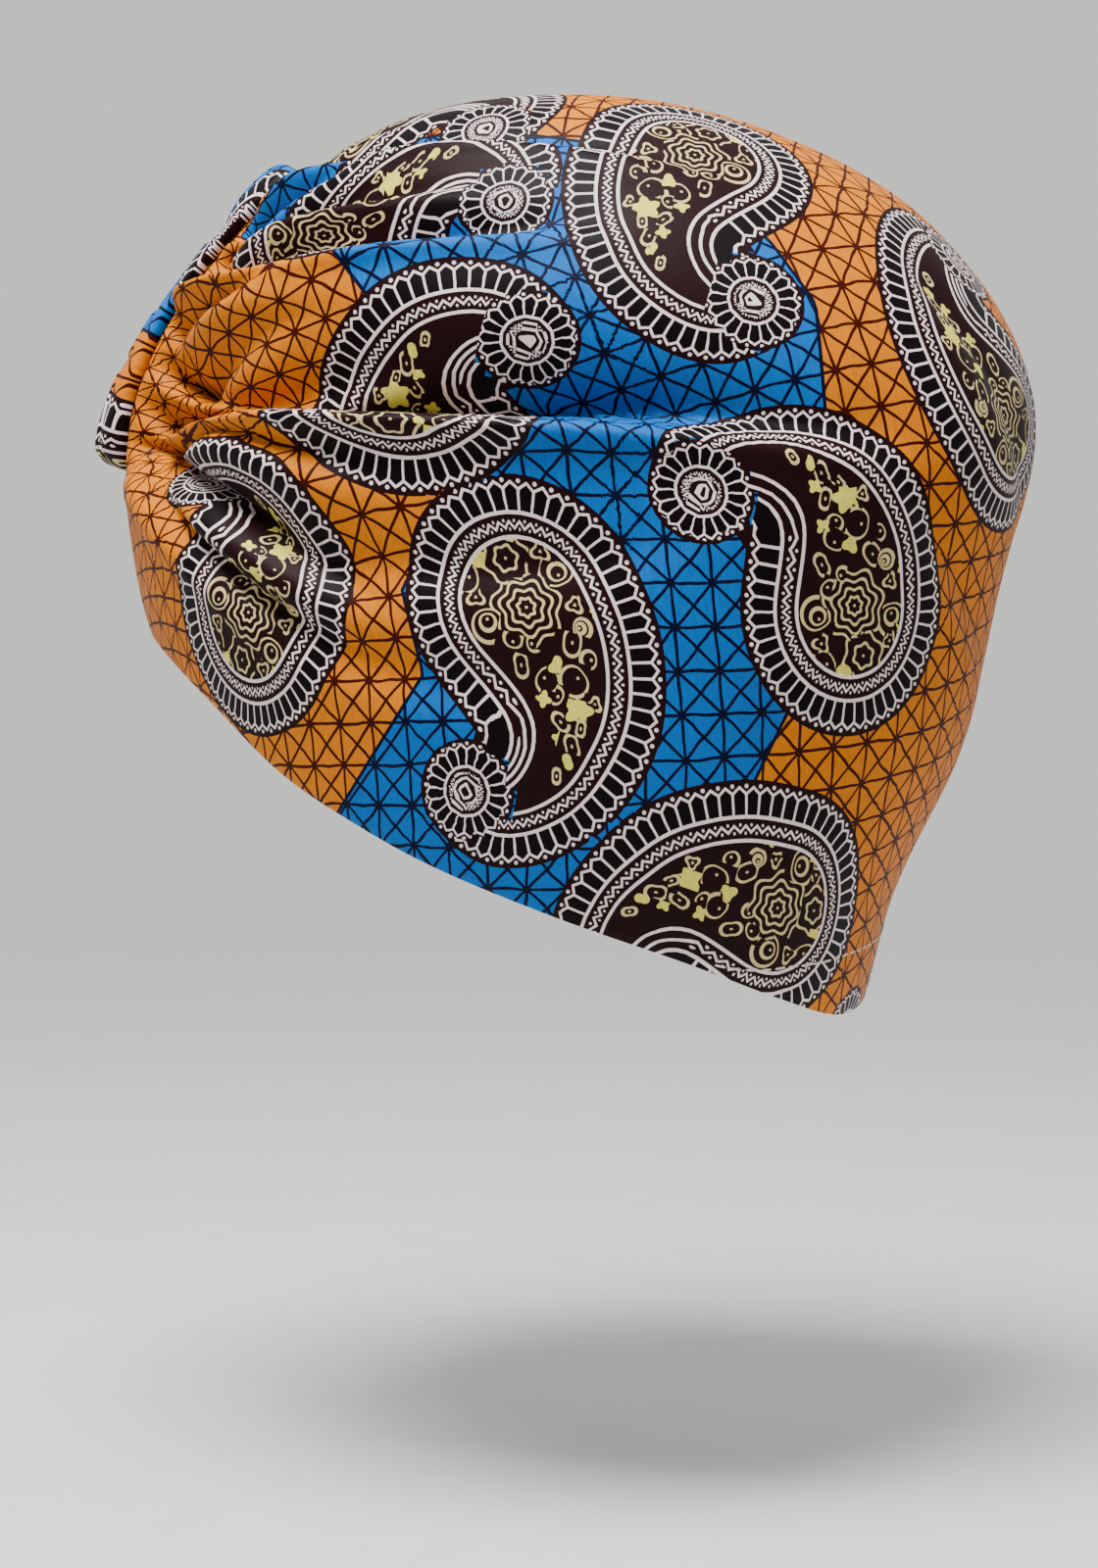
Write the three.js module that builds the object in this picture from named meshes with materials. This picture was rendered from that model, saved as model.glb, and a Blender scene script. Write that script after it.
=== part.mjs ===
// Pre-tied turban headwrap: a gathered cloth crown, the band that cinches the gathers at the
// centre front, and the turned-in hem. Sizes are in millimetres. +Z is up, the face looks along -Y
// and the wearer's left is +X. The top of the head touches the inside of the crown at the origin.
import * as THREE from 'three';

// The outline seen from the side: a radius every OUTLINE_STEP degrees about OUTLINE_CENTRE,
// counted from the back, over the top (90) to the forehead (180) and under the chin (270).
const OUTLINE_CENTRE = { y: 5, z: -98.3 };
const OUTLINE_STEP = 22.5;
const OUTLINE_RADII = [
  86.5, 100.7, 103, 100.6, 100.3, 101.9, 100.4, 99,
  91, 85.5, 92, 110, 126, 119, 91.3, 85.6,
];

// The cross-section from the middle of the head to the outline.
const HALF_WIDTH = 77;
const ROUNDNESS = 2.3;

// Places on the outline, in degrees: the top of the knot, the back of the top line, the edge
// over the forehead and the edge at the nape.
const KNOT_TOP = 124;
const TOP_BACK = 40;
const FOREHEAD_EDGE = 185.7;
const NAPE_EDGE = -53.6;
const SIDE_TURN = THREE.MathUtils.degToRad(100);

// The lower edge of the left side, from the forehead to the nape.
const EDGE_LINE = [
  { y: -81.2, z: -106.8 }, { y: -66, z: -120.7 }, { y: -51.3, z: -134.5 }, { y: -36, z: -144.3 },
  { y: -20.8, z: -152.3 }, { y: 0.8, z: -161.3 }, { y: 26, z: -170.9 }, { y: 44, z: -178.9 },
  { y: 56, z: -184.1 }, { y: 63, z: -183.9 }, { y: 65.8, z: -180.8 },
];

// The wall of the crown and the grid that carries it on each side.
const WALL = 2;
const RIBS = 24;
const ROWS = 47;
const RIB_CROWDING = 0.35;

// The turned-in hem.
const HEM_DEPTH = 10;
const HEM_WALL = 1.2;
const HEM_ROWS = 3;
const CLEARANCE = 0.4;

// Folds of each side. A fold runs from rib place `from` to rib place `to` (0 at the centre front,
// 1 at the centre back) and passes the heights `head`, `middle` and `tail` (0 at the top line,
// 1 at the lower edge). `depth` is how far the valley sinks, `above` and `below` how wide its
// two slopes are, and `lip` how much the cloth swells under the valley.
const FOLDS = [
  // Top pleat
  { from: 0.055, to: 0.6, head: 0.09, middle: 0.245, tail: 0.31, depth: 3.5, above: 8, below: 4, lip: 0.35 },
  // Ridge pleat
  { from: 0.055, to: 0.44, head: 0.24, middle: 0.33, tail: 0.36, depth: 3, above: 6, below: 4, lip: 0.4 },
  // Upper valley
  { from: 0.055, to: 0.52, head: 0.36, middle: 0.425, tail: 0.4, depth: 6, above: 7, below: 5, lip: 0.3 },
  // Short valley
  { from: 0.055, to: 0.42, head: 0.49, middle: 0.575, tail: 0.55, depth: 4.5, above: 6, below: 4, lip: 0.3 },
  // Long valley
  { from: 0.055, to: 0.78, head: 0.6, middle: 0.635, tail: 0.47, depth: 8.5, above: 13, below: 8, lip: 0.25 },
  // Lower pleat
  { from: 0.055, to: 0.44, head: 0.6, middle: 0.67, tail: 0.7, depth: 4, above: 6, below: 5, lip: 0.25 },
  // Pocket
  { from: 0.055, to: 0.44, head: 0.62, middle: 0.755, tail: 0.81, depth: 7, above: 10, below: 8, lip: 0.25 },
  // Temple pleat
  { from: 0.055, to: 0.5, head: 0.64, middle: 0.83, tail: 0.84, depth: 3.5, above: 7, below: 7, lip: 0.2 },
  // Brow pleat
  { from: 0.03, to: 0.26, head: 0.655, middle: 0.76, tail: 0.84, depth: 2.5, above: 7, below: 6, lip: 0.2 },
  // Ear sag
  { from: 0.34, to: 0.62, head: 0.785, middle: 0.75, tail: 0.66, depth: 3, above: 10, below: 7, lip: 0 },
];
const EDGE_CALM = { start: 0.86, end: 0.95 };

// The small gathers and the puff beside the knot.
const GATHER = { middle: 0.11, spread: 0.07, pitch: 0.078, height: 1.4, puff: 3, top: 0.01, bottom: 0.66 };

// The knot: a band that lies over the pinched gathers, one row per place along the outline.
// `rise` is how far its crest stands off the crown, `half` its half width.
const KNOT_ROWS = [
  { angle: 124, rise: 1, half: 10 }, { angle: 124.9, rise: 5, half: 11.6 },
  { angle: 126.6, rise: 6.2, half: 13 }, { angle: 129.2, rise: 6.2, half: 14 },
  { angle: 132.4, rise: 5.4, half: 14.4 }, { angle: 135, rise: 3.8, half: 14.5 },
  { angle: 136.6, rise: 4.5, half: 14.5 }, { angle: 140, rise: 4.4, half: 14.2 },
  { angle: 143.4, rise: 4.1, half: 13.8 }, { angle: 147, rise: 4.8, half: 13.6 },
  { angle: 150.4, rise: 5.1, half: 13.6 }, { angle: 153.6, rise: 5.7, half: 13.8 },
  { angle: 156.6, rise: 6.3, half: 14 }, { angle: 159.4, rise: 6.9, half: 14 },
  { angle: 161.8, rise: 7.5, half: 13.4 }, { angle: 163.5, rise: 7.4, half: 12.4 },
  { angle: 164.8, rise: 5.2, half: 11.2 }, { angle: 165.6, rise: 1.4, half: 10 },
];
const KNOT_COLUMNS = 12;
const KNOT_EDGE = 1.6;
const KNOT_CLEARANCE = 0.7;
const KNOT_PLEATS = [
  { top: -3, bottom: 3.5, depth: 1.5, width: 2 },
  { top: 4.5, bottom: 8.5, depth: 1.2, width: 1.8 },
  { top: -9, bottom: -5, depth: 1.2, width: 1.8 },
];
const PINCH = { depth: 4, reach: 16 };

const CLOTH = new THREE.MeshStandardMaterial({ name: 'printed cloth', color: '#1f68b0', roughness: 0.7 });
const CLOTH_BACK = new THREE.MeshStandardMaterial({
  name: 'cloth turned in', color: '#8d8fa0', roughness: 0.8,
});

const clamp01 = (value) => THREE.MathUtils.clamp(value, 0, 1);
const mix = THREE.MathUtils.lerp;
const smooth = THREE.MathUtils.smoothstep;
const bell = (value) => Math.exp(-value * value);

// A smooth curve through four values, at u between the second and the third.
function blend(a, b, c, d, u) {
  const slopeB = (c - a) / 2;
  const slopeC = (d - b) / 2;
  const cubic = 2 * b - 2 * c + slopeB + slopeC;
  const square = -3 * b + 3 * c - 2 * slopeB - slopeC;
  return ((cubic * u + square) * u + slopeB) * u + b;
}

// The outline's radius at an angle in degrees.
function outlineRadius(angle) {
  const count = OUTLINE_RADII.length;
  const place = THREE.MathUtils.euclideanModulo(angle, 360) / OUTLINE_STEP;
  const index = Math.floor(place);
  const pick = (step) => OUTLINE_RADII[(index + step + count) % count];
  return blend(pick(-1), pick(0), pick(1), pick(2), place - index);
}

function outlinePoint(angle) {
  const radius = outlineRadius(angle);
  const turn = THREE.MathUtils.degToRad(angle);
  return new THREE.Vector2(
    OUTLINE_CENTRE.y + radius * Math.cos(turn),
    OUTLINE_CENTRE.z + radius * Math.sin(turn),
  );
}

// The lower edge at u, even along its length.
const edgeLengths = EDGE_LINE.map(() => 0);
for (let k = 1; k < EDGE_LINE.length; k += 1) {
  const stepY = EDGE_LINE[k].y - EDGE_LINE[k - 1].y;
  const stepZ = EDGE_LINE[k].z - EDGE_LINE[k - 1].z;
  edgeLengths[k] = edgeLengths[k - 1] + Math.hypot(stepY, stepZ);
}

function edgePoint(u) {
  const last = EDGE_LINE.length - 1;
  const length = u * edgeLengths[last];
  let index = 0;
  while (index < last - 1 && edgeLengths[index + 1] < length) {
    index += 1;
  }
  const part = (length - edgeLengths[index]) / (edgeLengths[index + 1] - edgeLengths[index]);
  const pick = (step) => EDGE_LINE[Math.min(Math.max(index + step, 0), last)];
  const along = (axis) => blend(pick(-1)[axis], pick(0)[axis], pick(1)[axis], pick(2)[axis], part);
  return new THREE.Vector2(along('y'), along('z'));
}

// How far a side-view point lies from the centre, 1 on the outline.
function outlineShare(y, z) {
  const offY = y - OUTLINE_CENTRE.y;
  const offZ = z - OUTLINE_CENTRE.z;
  const angle = THREE.MathUtils.radToDeg(Math.atan2(offZ, offY));
  return Math.hypot(offY, offZ) / outlineRadius(angle);
}

// The outward direction of the plain form at a point of its left side.
function formNormal(x, y, z) {
  const step = 0.01;
  const share = outlineShare(y, z);
  const slopeY = (outlineShare(y + step, z) - outlineShare(y - step, z)) / (2 * step);
  const slopeZ = (outlineShare(y, z + step) - outlineShare(y, z - step)) / (2 * step);
  const steepness = ROUNDNESS * share ** (ROUNDNESS - 1);
  const slopeX = (ROUNDNESS / HALF_WIDTH) * (Math.abs(x) / HALF_WIDTH) ** (ROUNDNESS - 1);
  return new THREE.Vector3(Math.sign(x) * slopeX, steepness * slopeY, steepness * slopeZ).normalize();
}

// The plain form of the left side without folds: s runs from the front to the back, t from the
// top line to the lower edge. The side view is filled between its four border lines.
function formPoint(s, t) {
  const along = (1 - Math.cos(Math.PI * s)) / 2;
  const middle = Math.sin(Math.PI * s) ** 0.8;
  const turned = (1 - Math.cos(SIDE_TURN * t)) / (1 - Math.cos(SIDE_TURN));
  const down = mix(t, turned, middle);
  const top = outlinePoint(mix(KNOT_TOP, TOP_BACK, along));
  const front = outlinePoint(mix(KNOT_TOP, FOREHEAD_EDGE, down));
  const back = outlinePoint(mix(TOP_BACK, NAPE_EDGE, down));
  const edge = edgePoint(along);
  const corners = [outlinePoint(KNOT_TOP), outlinePoint(TOP_BACK), edgePoint(0), edgePoint(1)];
  const shares = [(1 - along) * (1 - down), along * (1 - down), (1 - along) * down, along * down];
  const side = new THREE.Vector2();
  side.addScaledVector(top, 1 - down);
  side.addScaledVector(edge, down);
  side.addScaledVector(front, 1 - along);
  side.addScaledVector(back, along);
  corners.forEach((corner, k) => side.addScaledVector(corner, -shares[k]));
  const inside = Math.max(0, 1 - outlineShare(side.x, side.y) ** ROUNDNESS);
  const onMidline = s === 0 || s === 1 || t === 0;
  const x = onMidline ? 0 : HALF_WIDTH * inside ** (1 / ROUNDNESS);
  return new THREE.Vector3(x, side.x, side.y);
}

// The length of the rib at s from the top line to the lower edge.
const ribLength = (s) => 109 + 49 * s + 74 * Math.sin(Math.PI * s) ** 2;

// A curve through three evenly spaced heights.
function through(head, middle, tail, u) {
  const slope = 4 * middle - 3 * head - tail;
  const bend = 2 * head - 4 * middle + 2 * tail;
  return head + slope * u + bend * u * u;
}

// How far one fold moves the cloth off the plain form.
function foldHeight(fold, s, t) {
  const along = (s - fold.from) / (fold.to - fold.from);
  const begun = smooth(along, -0.02, 0.12);
  const left = 1 - smooth(along, 0.45, 1);
  const off = (t - through(fold.head, fold.middle, fold.tail, clamp01(along))) * ribLength(s);
  const width = off < 0 ? fold.above : fold.below;
  const valley = Math.exp(-(Math.abs(off / width) ** 1.6));
  const swell = bell((off - 2 * fold.below) / (1.1 * fold.below));
  return fold.depth * begun * left * (fold.lip * swell - valley);
}

// The place of a point on the outline, in degrees from the back over the top.
function outlineAngle(point) {
  const turn = Math.atan2(point.z - OUTLINE_CENTRE.z, point.y - OUTLINE_CENTRE.y);
  return THREE.MathUtils.euclideanModulo(THREE.MathUtils.radToDeg(turn), 360);
}

// 1 along the knot, fading to 0 past its two ends.
function alongKnot(angle) {
  const first = KNOT_ROWS[0].angle;
  const last = KNOT_ROWS[KNOT_ROWS.length - 1].angle;
  return smooth(angle, first - 5, first - 1) * (1 - smooth(angle, last + 1, last + 5));
}

// The groove that the knot presses into the crown.
function pinchDepth(angle, x) {
  return PINCH.depth * alongKnot(angle) * Math.max(0, 1 - Math.abs(x) / PINCH.reach);
}

// The cloth's distance from the plain form: folds, gathers, puff, and the pinch under the knot.
function clothHeight(s, t, point) {
  const angle = outlineAngle(point);
  const calm = 1 - smooth(t, EDGE_CALM.start, EDGE_CALM.end);
  const freed = 1 - alongKnot(angle) * (1 - smooth(point.x, PINCH.reach, PINCH.reach + 8));
  const folds = FOLDS.reduce((sum, fold) => sum + foldHeight(fold, s, t), 0);
  const below = smooth(t, GATHER.top, GATHER.top + 0.06);
  const above = 1 - smooth(t, GATHER.bottom - 0.06, GATHER.bottom);
  const near = below * above * bell((s - GATHER.middle) / GATHER.spread);
  const gathers = GATHER.height * Math.cos((2 * Math.PI * t) / GATHER.pitch);
  return freed * (calm * folds + near * (gathers + GATHER.puff)) - pinchDepth(angle, point.x);
}

// A point of the cloth, sunk by `depth` under its outer face.
function clothPoint(s, t, depth) {
  const point = formPoint(s, t);
  const normal = formNormal(point.x, point.y, point.z);
  return point.addScaledVector(normal, clothHeight(s, t, point) - depth);
}

// A closed solid from outer points, the inner points behind them and the outer triangles:
// both faces, and a strip along every free edge.
function closedWall(name, outer, inner, triangles, material) {
  const count = outer.length;
  const index = [];
  const edges = new Map();
  for (const [a, b, c] of triangles) {
    index.push(a, b, c, a + count, c + count, b + count);
    edges.set(`${a} ${b}`, [a, b]);
    edges.set(`${b} ${c}`, [b, c]);
    edges.set(`${c} ${a}`, [c, a]);
  }
  for (const [p, q] of edges.values()) {
    if (!edges.has(`${q} ${p}`)) {
      index.push(q, p, p + count, q, p + count, q + count);
    }
  }
  const geometry = new THREE.BufferGeometry().setFromPoints([...outer, ...inner]);
  geometry.setIndex(index);
  geometry.computeVertexNormals();
  const mesh = new THREE.Mesh(geometry, material);
  mesh.name = name;
  return mesh;
}

// The rib places, closer together at the front and the back.
const ribPlace = (i) => i / RIBS - (RIB_CROWDING * Math.sin((2 * Math.PI * i) / RIBS)) / (2 * Math.PI);

// A wall round the whole head: the left side, and its mirror image joined to it along the midline.
// `rowPlace` gives the height of row j on the rib at s.
function wrappedWall(name, rows, rowPlace, outerDepth, innerDepth, joinedTop, material) {
  const outer = [];
  const inner = [];
  const numbers = new Map();
  const vertex = (side, i, j) => {
    const shared = i === 0 || i === RIBS || (joinedTop && j === 0);
    const key = `${shared ? 1 : side} ${i} ${j}`;
    if (!numbers.has(key)) {
      const s = ribPlace(i);
      const flip = new THREE.Vector3(side, 1, 1);
      numbers.set(key, outer.length);
      outer.push(clothPoint(s, rowPlace(s, j), outerDepth).multiply(flip));
      inner.push(clothPoint(s, rowPlace(s, j), innerDepth).multiply(flip));
    }
    return numbers.get(key);
  };
  const triangles = [];
  for (const side of [1, -1]) {
    for (let i = 0; i < RIBS; i += 1) {
      for (let j = 0; j < rows; j += 1) {
        const a = vertex(side, i, j);
        const b = vertex(side, i + 1, j);
        const c = vertex(side, i + 1, j + 1);
        const d = vertex(side, i, j + 1);
        const corner = joinedTop && j === 0;
        const shorter = outer[b].distanceTo(outer[d]) < outer[a].distanceTo(outer[c]);
        const rising = corner ? i === RIBS - 1 : shorter;
        const pair = rising ? [[a, d, b], [d, c, b]] : [[a, d, c], [a, c, b]];
        pair.forEach((triangle) => triangles.push(side > 0 ? triangle : triangle.reverse()));
      }
    }
  }
  return closedWall(name, outer, inner, triangles, material);
}

// A value of the knot's table at row place v, smooth between the rows.
function knotValue(column, v) {
  const last = KNOT_ROWS.length - 1;
  const index = Math.min(Math.floor(v), last - 1);
  const pick = (step) => KNOT_ROWS[Math.min(Math.max(index + step, 0), last)][column];
  return blend(pick(-1), pick(0), pick(1), pick(2), v - index);
}

// A point of the knot at row place v and place across w from -1 to 1, on its crest or underside.
function knotPoint(v, w, onCrest) {
  const angle = knotValue('angle', v);
  const half = knotValue('half', v);
  const x = half * w;
  const share = (1 - (Math.abs(x) / HALF_WIDTH) ** ROUNDNESS) ** (1 / ROUNDNESS);
  const side = outlinePoint(angle);
  const y = mix(OUTLINE_CENTRE.y, side.x, share);
  const z = mix(OUTLINE_CENTRE.z, side.y, share);
  const normal = formNormal(x, y, z);
  const under = KNOT_CLEARANCE - pinchDepth(angle, x);
  const point = new THREE.Vector3(x, y, z);
  if (!onCrest) {
    return point.addScaledVector(normal, under);
  }
  const length = v / (KNOT_ROWS.length - 1);
  const round = Math.sqrt(Math.max(0, 1 - Math.abs(w) ** 2.2));
  const pleats = KNOT_PLEATS.reduce((sum, pleat) => {
    return sum + pleat.depth * bell((x - mix(pleat.top, pleat.bottom, length)) / pleat.width);
  }, 0);
  const crest = (knotValue('rise', v) - under - KNOT_EDGE) * round;
  const calm = smooth(crest, 2, 7);
  return point.addScaledVector(normal, under + KNOT_EDGE + Math.max(0, crest - pleats * calm));
}

function knotWall() {
  const outer = [];
  const inner = [];
  const triangles = [];
  const rows = 2 * (KNOT_ROWS.length - 1);
  for (let j = 0; j <= rows; j += 1) {
    for (let i = 0; i <= KNOT_COLUMNS; i += 1) {
      const w = Math.sin(Math.PI * (i / KNOT_COLUMNS - 0.5));
      outer.push(knotPoint(j / 2, w, true));
      inner.push(knotPoint(j / 2, w, false));
    }
  }
  const vertex = (i, j) => j * (KNOT_COLUMNS + 1) + i;
  for (let j = 0; j < rows; j += 1) {
    for (let i = 0; i < KNOT_COLUMNS; i += 1) {
      triangles.push([vertex(i, j), vertex(i, j + 1), vertex(i + 1, j + 1)]);
      triangles.push([vertex(i, j), vertex(i + 1, j + 1), vertex(i + 1, j)]);
    }
  }
  return closedWall('front_knot', outer, inner, triangles, CLOTH);
}

const headwrap = new THREE.Group();
headwrap.name = 'turban_headwrap';

const crownRow = (s, j) => j / ROWS;
headwrap.add(wrappedWall('crown', ROWS, crownRow, 0, WALL, true, CLOTH));

const hemRow = (s, j) => 1 - (HEM_DEPTH / ribLength(s)) * (1 - j / HEM_ROWS);
const hemTop = WALL + CLEARANCE;
headwrap.add(wrappedWall('hem', HEM_ROWS, hemRow, hemTop, hemTop + HEM_WALL, false, CLOTH_BACK));

headwrap.add(knotWall());

export default headwrap;
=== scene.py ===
# %% [markdown]
# # A pre-tied turban headwrap
#
# The wrap is a cap of thin printed cloth. Its folds run back from the centre front, where a short
# wrapped band, the knot, pinches them together, and its lower edge is turned in and stitched.
# The solids of the frame give its size and place, and every piece below is a finer surface over them.

# %% Load the frame
import math
from functools import partial

import bmesh
import bpy
import numpy as np
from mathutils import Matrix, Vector


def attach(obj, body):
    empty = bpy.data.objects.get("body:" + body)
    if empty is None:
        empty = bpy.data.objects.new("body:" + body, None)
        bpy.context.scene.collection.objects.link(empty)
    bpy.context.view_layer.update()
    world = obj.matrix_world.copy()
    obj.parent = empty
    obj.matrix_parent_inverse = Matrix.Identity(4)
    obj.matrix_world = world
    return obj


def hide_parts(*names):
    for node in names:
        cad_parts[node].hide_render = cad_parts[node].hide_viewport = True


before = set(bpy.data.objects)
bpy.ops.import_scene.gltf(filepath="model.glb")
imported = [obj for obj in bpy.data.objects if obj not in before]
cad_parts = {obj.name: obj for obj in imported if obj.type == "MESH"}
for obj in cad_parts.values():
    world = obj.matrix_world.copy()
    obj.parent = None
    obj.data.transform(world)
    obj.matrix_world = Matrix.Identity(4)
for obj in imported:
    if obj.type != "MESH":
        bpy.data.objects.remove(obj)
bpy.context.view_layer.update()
MM = 0.001
print("frame nodes:", sorted(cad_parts))

# %% [markdown]
# ## The plain form
#
# Seen from the side, the wrap is a rounded outline over a slanting lower edge. From the middle of
# the head to that outline it bulges like a flattened ball. A mesh could be sculpted, but two
# formulas keep the same form as the solids: a radius for each direction of the side view, and a
# bulge that falls from the half width to nothing at the outline. All lengths here are millimetres.

# %% Outline and lower edge
OUTLINE_CENTRE = np.array([5.0, -98.3])
OUTLINE_STEP = 22.5
OUTLINE_RADII = np.array([86.5, 100.7, 103, 100.6, 100.3, 101.9, 100.4, 99,
                          91, 85.5, 92, 110, 126, 119, 91.3, 85.6])
HALF_WIDTH = 77.0
ROUNDNESS = 2.3
KNOT_TOP, TOP_BACK = 124.0, 40.0
FOREHEAD_EDGE, NAPE_EDGE = 185.7, -53.6
SIDE_TURN = math.radians(100)
MIDDLE_POWER = 0.8
SLOPE_STEP = 0.01
EDGE_LINE = np.array([
    (-81.2, -106.8), (-66, -120.7), (-51.3, -134.5), (-36, -144.3), (-20.8, -152.3), (0.8, -161.3),
    (26, -170.9), (44, -178.9), (56, -184.1), (63, -183.9), (65.8, -180.8)])


def smooth(value, low, high):
    """A step from 0 at low to 1 at high, with flat ends."""
    share = np.clip((value - low) / (high - low), 0, 1)
    return share * share * (3 - 2 * share)


def bell(value):
    """A bump of height 1 at 0 that falls as the exponential of minus the square."""
    return np.exp(-value * value)


def mix(a, b, share):
    """The value between a and b at a share from 0 to 1."""
    return a + (b - a) * share


def blend(a, b, c, d, u):
    """A smooth cubic through four values, at u between the second and the third."""
    slope_b, slope_c = (c - a) / 2, (d - b) / 2
    cubic = 2 * b - 2 * c + slope_b + slope_c
    square = -3 * b + 3 * c - 2 * slope_b - slope_c
    return ((cubic * u + square) * u + slope_b) * u + b


def along_table(rows, place):
    """A smooth curve through the rows of a table, at a place counted in rows."""
    last = len(rows) - 1
    index = np.clip(np.floor(place).astype(int), 0, last - 1)
    picks = [rows[np.clip(index + step, 0, last)] for step in (-1, 0, 1, 2)]
    part = place - index
    return blend(*picks, part[..., None] if rows.ndim > 1 else part)


def outline_radius(angle):
    """The outline's radius at an angle in degrees, 0 at the back and 90 at the top."""
    place = np.mod(angle, 360) / OUTLINE_STEP
    index = np.floor(place).astype(int)
    picks = [OUTLINE_RADII[(index + step) % len(OUTLINE_RADII)] for step in (-1, 0, 1, 2)]
    return blend(*picks, place - index)


def outline_point(angle):
    """The outline's point (y, z): its centre plus the radius along the angle."""
    turn = np.radians(angle)
    return OUTLINE_CENTRE + outline_radius(angle)[..., None] * np.stack([np.cos(turn), np.sin(turn)], -1)


edge_steps = np.linalg.norm(np.diff(EDGE_LINE, axis=0), axis=1)
edge_places = np.concatenate([[0], np.cumsum(edge_steps)]) / edge_steps.sum()


def edge_point(u):
    """The lower edge's point (y, z) at u from 0 at the forehead to 1 at the nape."""
    return along_table(EDGE_LINE, np.interp(u, edge_places, np.arange(len(EDGE_LINE))))


def outline_share(y, z):
    """The distance of a side-view point from the centre, 1 on the outline."""
    off_y, off_z = y - OUTLINE_CENTRE[0], z - OUTLINE_CENTRE[1]
    return np.hypot(off_y, off_z) / outline_radius(np.degrees(np.arctan2(off_z, off_y)))


def outline_angle(point):
    """The direction of a point in the side view, in degrees from the back over the top."""
    off = point[..., 1:] - OUTLINE_CENTRE
    return np.mod(np.degrees(np.arctan2(off[..., 1], off[..., 0])), 360)


print("lower edge of one side: %.0f mm in the side view" % edge_steps.sum())


# %% Left side of the plain form
def form_point(s, t):
    """A point of the left side: the side view is filled between its four border lines (the sum of
    the two ruled surfaces less the corners), and the bulge gives the point its place across."""
    along = (1 - np.cos(np.pi * s)) / 2
    middle = np.maximum(np.sin(np.pi * s), 0) ** MIDDLE_POWER
    down = mix(t, (1 - np.cos(SIDE_TURN * t)) / (1 - math.cos(SIDE_TURN)), middle)
    top, edge = outline_point(mix(KNOT_TOP, TOP_BACK, along)), edge_point(along)
    front = outline_point(mix(KNOT_TOP, FOREHEAD_EDGE, down))
    back = outline_point(mix(TOP_BACK, NAPE_EDGE, down))
    corner_top = outline_point(np.array([KNOT_TOP, TOP_BACK]))
    corner_low = edge_point(np.array([0.0, 1.0]))
    a, d = along[..., None], down[..., None]
    side = mix(top, edge, d) + mix(front, back, a)
    side = side - mix(mix(corner_top[0], corner_top[1], a), mix(corner_low[0], corner_low[1], a), d)
    inside = np.maximum(0, 1 - outline_share(side[..., 0], side[..., 1]) ** ROUNDNESS)
    across = HALF_WIDTH * inside ** (1 / ROUNDNESS)
    across = np.where((s <= 0) | (s >= 1) | (t <= 0), 0, across)
    return np.concatenate([across[..., None], side], -1)


def form_normal(point):
    """The outward direction: the slope of (x / half width)^n + (share of the outline)^n."""
    x, y, z = np.moveaxis(point, -1, 0)
    steep = ROUNDNESS * outline_share(y, z) ** (ROUNDNESS - 1)
    slope_y = (outline_share(y + SLOPE_STEP, z) - outline_share(y - SLOPE_STEP, z)) / (2 * SLOPE_STEP)
    slope_z = (outline_share(y, z + SLOPE_STEP) - outline_share(y, z - SLOPE_STEP)) / (2 * SLOPE_STEP)
    slope_x = np.sign(x) * ROUNDNESS / HALF_WIDTH * (np.abs(x) / HALF_WIDTH) ** (ROUNDNESS - 1)
    normal = np.stack([slope_x, steep * slope_y, steep * slope_z], -1)
    return normal / np.linalg.norm(normal, axis=-1, keepdims=True)


# %% [markdown]
# ## Folds and gathers
#
# The knot draws the cloth together, so valleys start beside it and die out towards the back.
# Each valley is a groove across the ribs with a long dark slope above and a crisp lip below. A cloth
# simulation would wander from the photographed folds, so each one is a row of a short table instead.

# %% Fold table
# start, end, heights at the head, middle and tail, depth, width above, width below, lip, overhang
FOLDS = {
    "top pleat": (0.055, 0.60, 0.09, 0.245, 0.31, 5.0, 8.0, 2.6, 0.35, 2.0),
    "ridge pleat": (0.055, 0.44, 0.24, 0.33, 0.36, 4.5, 5.0, 2.4, 0.4, 2.0),
    "upper valley": (0.055, 0.52, 0.36, 0.425, 0.40, 10.0, 6.5, 2.6, 0.35, 4.0),
    "short valley": (0.055, 0.42, 0.49, 0.575, 0.55, 6.5, 6.0, 2.6, 0.3, 2.5),
    "long valley": (0.055, 0.78, 0.575, 0.612, 0.46, 14.0, 10.0, 3.0, 0.35, 6.0),
    "lower pleat": (0.055, 0.44, 0.60, 0.67, 0.70, 5.5, 5.0, 2.6, 0.3, 2.0),
    "pocket": (0.055, 0.44, 0.62, 0.755, 0.81, 11.0, 8.0, 3.2, 0.35, 4.0),
    "temple pleat": (0.055, 0.50, 0.64, 0.83, 0.84, 5.0, 5.0, 3.2, 0.25, 2.0),
    "brow pleat": (0.03, 0.26, 0.655, 0.76, 0.84, 3.5, 5.0, 3.0, 0.25, 1.5),
    "ear sag": (0.34, 0.62, 0.785, 0.75, 0.66, 3.5, 10.0, 5.0, 0.1, 0.0),
    "side crease": (0.42, 0.72, 0.60, 0.58, 0.52, 1.4, 6.0, 4.0, 0.3, 0.0),
    "nape crease": (0.66, 0.98, 0.50, 0.56, 0.60, 1.6, 9.0, 5.0, 0.3, 0.0),
    "back crease": (0.70, 0.99, 0.30, 0.36, 0.42, 1.4, 9.0, 5.0, 0.3, 0.0),
    "cheek crease": (0.30, 0.60, 0.88, 0.86, 0.80, 1.0, 6.0, 4.0, 0.3, 0.0),
}
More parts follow.
